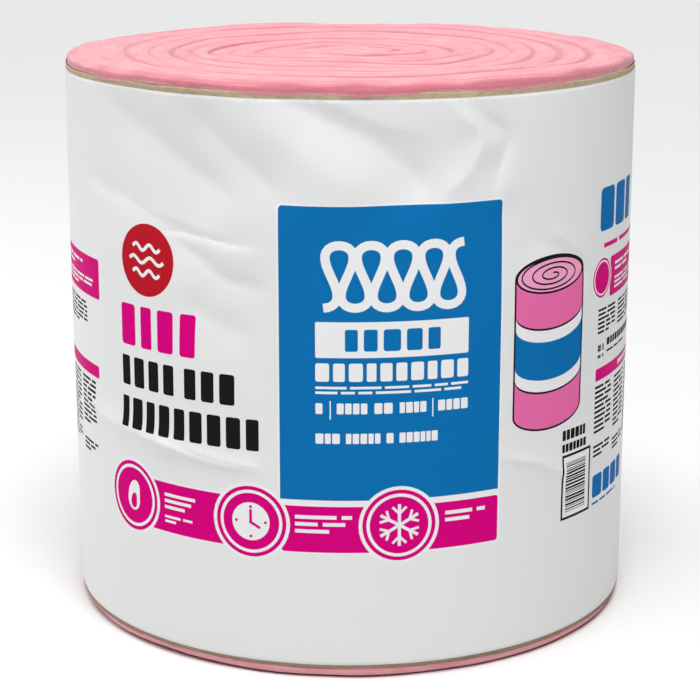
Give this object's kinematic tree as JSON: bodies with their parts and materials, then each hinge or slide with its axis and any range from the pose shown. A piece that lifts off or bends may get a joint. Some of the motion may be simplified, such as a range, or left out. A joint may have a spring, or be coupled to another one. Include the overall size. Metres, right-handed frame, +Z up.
{
  "type": "insulation roll",
  "caption": "Roll of kraft-faced glass-wool insulation standing on its end, wrapped once round the side in printed plastic film, with both ends of the wool left open.",
  "frame": {"origin": "on the floor at the middle of the roll's lower end", "axes": "+Z up along the roll's axis, -Y towards the printed front, +Y towards the film's lap seam at the back"},
  "size_m": [0.6139, 0.6141, 0.602],
  "materials": {
    "wool": "soft matted glass fibre, pink",
    "kraft": "asphalt-coated kraft paper, matt",
    "film": "thin wrinkled polythene film, white, printed in blue, magenta and black"
  },
  "bodies": {
    "root": {"wool_roll": "wool", "kraft_facing": "kraft", "film_wrap": "film"}
  },
  "joints": []
}
